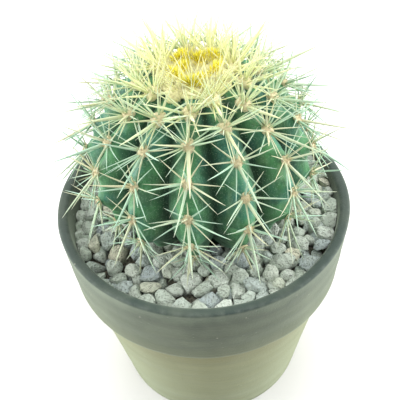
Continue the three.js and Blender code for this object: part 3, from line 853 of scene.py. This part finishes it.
# %% Short hairs on the cushions
HAIRS_EACH = 130
HAIR_SEAT = 0.88
HAIR_THICKNESS = 0.13
random = np.random.default_rng(17)
owner = np.repeat(np.arange(len(CUSHIONS)), HAIRS_EACH)
count = len(owner)
tilt = np.radians(random.uniform(5, 88, count))[:, None]
around = random.uniform(0, TURN, count)[:, None]
outward = dome_down[owner] * np.cos(around) + dome_across[owner] * np.sin(around)
hair_root = seat[owner] + HAIR_SEAT * (np.sin(tilt) * outward + np.cos(tilt) * dome_up[owner])
hair_heading = unit(np.sin(tilt) * outward / half_width[owner] + np.cos(tilt) * seat_normal[owner]
                    + random.normal(0, 0.25, (count, 3)))
hair_length = random.uniform(0.5, 1.15, count) * (1 + 1.2 * youth[owner])
hairs = (hair_root, hair_heading, random.normal(0, 0.12, (count, 3)), hair_length, HAIR_THICKNESS)
drawn_piece("areole_hairs", hairs, (0.6, 2, 3), felt, "areole_felt", youth=youth)
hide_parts("cactus")

# %% [markdown]
# ## Spines
# Four strong central spines and nine thinner radial ones grow from a full-grown cushion. The
# strongest points down the rib. They are stiff round awls, slightly bent, with a tan foot, pale
# mint to cream low on the stem and pale yellow near the crown, where a cushion has ten thin ones
# more. Curves with a bevel could draw them, but a tapering tube of few faces is lighter, and
# there are more than a thousand.

# %% Headings of the spines
CROWN_TOP = 183.6
RIM_REACH = 59.5
MOUTH_REACH = 53.5
STEEPEST = np.radians(82)
YOUNG_LIFT = np.radians(26)
OLD_LENGTH = 0.76


def kept_clear(root, heading, bend, length):
    """Headings and lengths changed where a tip would meet something.

    A spine is shortened where its tip would pass the crown's top. Then the tip is raised to lie
    over the stones, and drawn in to the rim, or to the mouth where it is below the rim.
    """
    steepness = np.maximum(heading[:, 2] + bend[:, 2], 0.01)
    length = np.minimum(length, (CROWN_TOP - root[:, 2]) / steepness)
    tip = root + length[:, None] * (heading + bend)
    tip[:, 2] = np.maximum(tip[:, 2], gravel_surface(tip[:, 0]) + 3.6)
    limit = np.where(tip[:, 2] < POT_HEIGHT + 1.2, MOUTH_REACH, RIM_REACH)
    tip[:, :2] *= np.minimum(1, limit / np.maximum(length_of(tip[:, :2]), 1))[:, None]
    straight = tip - root - length[:, None] * bend
    return unit(straight), length_of(straight)


def spine_set(numbers, turns, lifts, lengths, thickness, seed, turn_spread, bend_to_skin):
    """Roots, headings, bends, lengths and thickness of the same fan of spines on some cushions.

    A spine's heading is cos(lift) cos(turn) down the rib, cos(lift) sin(turn) across it and
    sin(lift) out of the skin. Near the crown the spines are lifted more and are about a
    quarter stouter, and on the lowest cushions they are shorter.
    """
    random = np.random.default_rng(seed)
    shape = (len(numbers), len(turns))
    colatitude, azimuth = cushion_angles(numbers[:, None])
    base, out, across, down = stem_frame(colatitude, azimuth)
    young = 1.2 * youth_at(colatitude)
    young_lift = YOUNG_LIFT * (1 - smooth_step(0, np.radians(55), colatitude))
    turn = np.radians(turns) + (1 + young) * random.normal(0, np.radians(turn_spread), shape)
    lift = np.radians(lifts) * (1 + (1 + young) * random.uniform(-0.25, 0.25, shape)) + young_lift
    lift = np.minimum(lift, STEEPEST)[..., None]
    old = np.where(colatitude > np.radians(108), OLD_LENGTH, 1.0)
    length = random.uniform(0.88, 1.1, shape) * lengths * old
    flat = np.cos(lift) * (np.cos(turn)[..., None] * down + np.sin(turn)[..., None] * across)
    heading = flat + np.sin(lift) * out
    bend = -bend_to_skin * out + random.normal(0, 0.035, (*shape, 3))
    root = base + (1.1 + young)[..., None] * flat
    stout = 1 + 0.24 * youth_at(colatitude, 75)
    width = random.uniform(0.85, 1.15, shape) * thickness * stout
    root, heading, bend = (part.reshape(-1, 3) for part in (root, heading, bend))
    heading, length = kept_clear(root, heading, bend, length.ravel())
    return root, heading, bend, length, width.ravel()


# %% Finish of the spines
horn = new_finish("spine_horn", Roughness=0.66, Subsurface_Weight=0.3, Subsurface_Scale=0.001,
                  Subsurface_Radius=(1.0, 1.0, 0.8))
horn_youth = value_of(horn, "youth")
painted(horn, shades(horn, value_of(horn, "along"), [
    (0.0, 200, 182, 144), (0.06, 190, 194, 162), (0.14, 162, 194, 168), (0.85, 166, 200, 179),
    (1.0, 178, 196, 166),
]), [
    (value_of(horn, "tone"), 0.35, 1, 0, 0.8, (212, 202, 164)),
    (horn_youth, 0, 1, 0, 0.85, (222, 231, 182)),
    (horn_youth, 0.8, 1, 0, 0.6, (238, 235, 168)),
    (grain(horn, 0.5, 3, (1, 1, 0.3)), 0.5, 0.75, 0, 0.2, (190, 174, 126)),
])
bumped(horn, [(grain(horn, 0.35, 2), 0.03)])

# %% Place the spines
SPINE_SIDES = 6
SPINE_TAPER = 0.62
SPINED = np.arange(19, 92)
FRINGED = np.arange(19, 46)
# Each fan: name, rings, cushions, turns and lifts in degrees, lengths, thickness, seed, spread of
# the turns in degrees, and bend towards the skin.
FANS = [
    ("spines_central", 7, SPINED, [0, 82, 180, -82], [36, 42, 54, 42], [21.0, 17.5, 14.5, 17.5],
     [1.25, 0.95, 0.9, 0.95], 5, 8, 0.03),
    ("spines_radial", 6, SPINED, (np.arange(9) + 0.5) * 40, [20, 22, 22, 24, 26, 24, 22, 22, 20],
     [14.5, 15.0, 14.0, 12.5, 10.5, 12.5, 14.0, 15.0, 14.5], 0.66, 6, 8, 0.05),
    ("spines_young", 5, FRINGED, np.arange(10) * 36 + 8, [24, 56, 34, 66, 40] * 2,
     [18.5, 17, 16.5, 19, 15] * 2, 0.42, 41, 18, 0.0),
]


def horn_piece(name, spines, rings, random, youth):
    """Piece of horn spines, each with a random tone."""
    count = len(spines[0])
    drawn_piece(name, spines, (SPINE_TAPER, rings, SPINE_SIDES), horn, "spines",
                along=along_spines(count, rings, SPINE_SIDES), tone=random.uniform(0, 1, count),
                youth=youth)


for name, rings, numbers, *fan in FANS:
    spines = spine_set(numbers, *fan)
    random = np.random.default_rng(len(spines[0]))
    horn_piece(name, spines, rings, random, youth_at(cushion_angles(numbers)[0], 54))

# %% [markdown]
# ## The crown
# New growth hides under felt in the dimple on top. A cream disc lies in the middle, a ring of
# golden brushes of new spines stands round it, and pale yellow young spines rise out of them.
# The felt could be sculpted, but its bumps have to meet the brushes, so its height is a formula:
# a low ring and a bell curve for each young cushion.

# %% Places of the young cushions
YOUNG = np.arange(7, 19)
BRUSHES = 8
CAP_RADIUS = 14.0
young_colatitude, young_azimuth = cushion_angles(YOUNG)
young_reach = np.minimum(STEM_RADIUS * np.sin(young_colatitude), 11.5)
young_place = round_axis(young_reach, young_azimuth)
brush_place = young_place[:BRUSHES]


def stem_top(reach):
    """Height of the stem's dimpled top at a distance from the axis, where it has no ribs."""
    point, _ = stem_skin(np.arcsin(reach / STEM_RADIUS), 0 * reach + FRONT_RIB)
    return point[..., 2]


def cap_height(place):
    """Height of the felt: the stem's top, a ring that is thickest at 9 mm, and the young bumps."""
    reach = length_of(place)
    ring = 1.3 + 1.6 * np.exp(-(((reach - 9) / 3.4) ** 2))
    edge = np.sqrt(np.clip(1 - (reach / CAP_RADIUS) ** 6, 0, 1))
    apart = length_of(place[..., None, :] - young_place)
    bump = np.exp(-((apart / 2.1) ** 2)).sum(axis=-1)
    return stem_top(reach) + 0.3 + edge * (ring + bump)


def gold_at(place):
    """1 at the foot of a golden brush, falling as a bell curve 2 mm wide round it."""
    apart = length_of(place[:, None] - brush_place)
    return np.clip(np.exp(-((apart / 2) ** 2)).sum(axis=1), 0, 1)


def grown(place, sunk, lean):
    """Roots sunk into the cap at some places, and headings that lean over from upright."""
    return raised(place, cap_height(place) - sunk), unit(raised(lean, np.ones(len(lean))))


# %% Cap of felt
CAP_ROWS = 34
CAP_COLUMNS = 96
cap_azimuth = turn_steps(CAP_COLUMNS)
cap_reach = CAP_RADIUS * np.sin(np.linspace(0.02, 1, CAP_ROWS) * np.pi / 2)[:, None]
under_reach = CAP_RADIUS * np.array([0.97, 0.8, 0.5, 0.2])[:, None]
cap_place = round_axis(cap_reach, cap_azimuth)
cap_top = raised(cap_place, cap_height(cap_place))
cap_middle = np.array([[0, 0, cap_top[0, :, 2].mean()]])
cap_top[..., 2] += 0.2 * hills(cap_top, 1.8, 31)
cap_under = turned(np.hstack([under_reach, stem_top(under_reach) - 0.5]), cap_azimuth)
cap_points, cap_faces = closed_skins(cap_middle, np.concatenate([cap_top, cap_under])[None],
                                     np.array([[0, 0, stem_top(np.zeros(1))[0] - 0.2]]))
print("the cap rises to", cap_points[:, 2].max().round(1), "mm")

# %% Finishes of the crown
crown_wool = new_finish("crown_wool", Roughness=0.95, Sheen_Weight=0.4, Sheen_Roughness=0.5)
painted(crown_wool, shade(243, 240, 188), [
    (value_of(crown_wool, "gold"), 0.05, 0.7, (240, 222, 48)),
    (grain(crown_wool, 1.2, 4), 0.45, 0.7, 0, 0.4, (238, 231, 200)),
])
bumped(crown_wool, [(grain(crown_wool, 0.3, 3), 0.2)])
golden = new_finish("golden_bristles", Roughness=0.5, Subsurface_Weight=0.5, Subsurface_Scale=0.001,
                    Subsurface_Radius=(1.0, 0.9, 0.4))
use(golden, "Base Color", shades(golden, value_of(golden, "along"), [
    (0.0, 234, 210, 24), (0.5, 238, 224, 36), (1.0, 244, 238, 92)]))
bumped(golden, [(grain(golden, 0.4, 2), 0.02)])
crown_felt = new_piece("crown_felt", cap_points, cap_faces, crown_wool, "crown_wool",
                       gold=gold_at(cap_points[:, :2]))
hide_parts("crown_wool")

# %% Fine wool over the cap
WOOL = 4600
WOOL_THICKNESS = 0.15
random = np.random.default_rng(37)
wool_reach = CAP_RADIUS * np.sqrt(random.uniform(0, 0.94, WOOL))
wool_place = round_axis(wool_reach, random.uniform(0, TURN, WOOL))
wool = (*grown(wool_place, 0.15, random.normal(0, 0.7, (WOOL, 2))), random.normal(0, 0.25, (WOOL, 3)),
        random.uniform(0.9, 2.2, WOOL), WOOL_THICKNESS)
drawn_piece("crown_hairs", wool, (0.5, 3, 3), crown_wool, "crown_wool", gold=gold_at(wool_place))

# %% Golden brushes round the middle
BRISTLES = 110
random = np.random.default_rng(23)
owner = np.repeat(np.arange(BRUSHES), BRISTLES)
count = len(owner)
outward = unit(brush_place)[owner]
sideways = np.stack([-outward[:, 1], outward[:, 0]], axis=1)
off = random.normal(0, 0.8, (count, 1)) * outward + random.normal(0, 1.7, (count, 1)) * sideways
lean = 0.3 * off + 0.15 * outward + random.normal(0, 0.1, (count, 2))
bristle_length = random.uniform(2.2, 3.4, count)
bristles = (*grown(brush_place[owner] + off, 0.3, lean), random.normal(0, 0.05, (count, 3)),
            bristle_length, random.uniform(0.3, 0.5, count))
drawn_piece("crown_brushes", bristles, (0.7, 4, 4), golden, "crown_wool", along=along_spines(count, 4, 4))

# %% Young spines that rise out of the crown
SPINES_EACH = 10
ROOTED = np.arange(6, len(YOUNG))
random = np.random.default_rng(29)
owner = np.repeat(ROOTED, SPINES_EACH)
count = len(owner)
turn = np.tile(turn_steps(SPINES_EACH), len(ROOTED)) + random.normal(0, 0.35, count)
side = np.stack([np.cos(turn), np.sin(turn)], axis=1)
lean = 0.045 * young_place[owner] + random.uniform(0.15, 0.6, (count, 1)) * side
root, heading = grown(young_place[owner] + random.uniform(0.4, 1.9, (count, 1)) * side, 0.4, lean)
room_above = (CROWN_TOP - root[:, 2]) / heading[:, 2]
length = np.minimum(random.uniform(12, 20, count), room_above)
bend = random.normal(0, 0.04, root.shape) * [1, 1, 0]
crown_fan = (root, heading, bend, length, random.uniform(0.32, 0.5, count))
horn_piece("crown_spines", crown_fan, 6, random, 1)

# %% [markdown]
# ## Light, floor and camera
# A white, bright studio: weak even light from all round, one soft window to each side, a weaker
# one behind, a soft light above, and a pale floor that almost disappears. With no window in front,
# the pot's front stays darker than its sides. A picture of a sky could light it, but plain lamps
# need no file. The camera looks down at 45 degrees from 300 mm, a little turned.

# %% Floor and surroundings
FLOOR_CORNERS = [(-3, -3, 0), (3, -3, 0), (3, 3, 0), (-3, 3, 0)]
ROOM_LIGHT = 0.38
floor_mesh = bpy.data.meshes.new("floor")
floor_mesh.from_pydata(FLOOR_CORNERS, [], [(0, 1, 2, 3)])
floor_mesh.materials.append(new_finish("pale_floor", Roughness=0.9, Base_Color=(0.78, 0.78, 0.77, 1)))
floor = shown("floor", floor_mesh)
world = bpy.data.worlds.new("white_room")
world.use_nodes = True
background = world.node_tree.nodes["Background"].inputs
background["Color"].default_value = (1.0, 1.0, 0.99, 1)
background["Strength"].default_value = ROOM_LIGHT
scene.world = world
scene.view_settings.view_transform = "Standard"


# %% Lights
def stand(thing, right, back, place):
    """Puts a light or a camera at a place, with its right and its back in two directions."""
    axes = np.column_stack([right, np.cross(back, right), back, place])
    thing.matrix_world = Matrix(np.vstack([axes, [0, 0, 0, 1]]).tolist())


def soft_light(name, place, target, size, power):
    """Square area light at a place, turned to face a target."""
    lamp = bpy.data.lights.new(name, "AREA")
    lamp.size = size
    lamp.energy = power
    back = unit(np.subtract(place, target))
    right = unit(np.cross([0, 0, 1.0], back))
    stand(shown(name, lamp), right, back, place)


soft_light("right_window", (1.0, 0.12, 0.45), (0, 0, 0.1), 0.8, 18)
soft_light("left_window", (-1.0, 0.12, 0.45), (0, 0, 0.1), 0.8, 17)
soft_light("back_window", (0, 1.0, 0.75), (0, 0, 0.12), 1.0, 6)
soft_light("sky", (0, -0.15, 1.25), (0, 0, 0.12), 1.2, 11)

# %% Camera
ELEVATION = np.radians(45)
ROLL = np.radians(3.85)
DISTANCE = 0.300
SIGHT = np.array([0, 0, 0.1])
TO_THE_RIGHT = -0.0012
UPWARDS = -0.0013
back = np.array([0, -np.cos(ELEVATION), np.sin(ELEVATION)])
right = np.array([1.0, 0, 0])
up = np.cross(back, right)
place = SIGHT + DISTANCE * back + TO_THE_RIGHT * right + UPWARDS * up
camera_data = bpy.data.cameras.new("camera")
camera_data.lens = 64.6
camera_data.sensor_width = 36
camera_data.clip_start = 0.01
scene.camera = shown("camera", camera_data)
stand(scene.camera, right * np.cos(ROLL) - up * np.sin(ROLL), back, place)
print("the camera stands at", place.round(3))
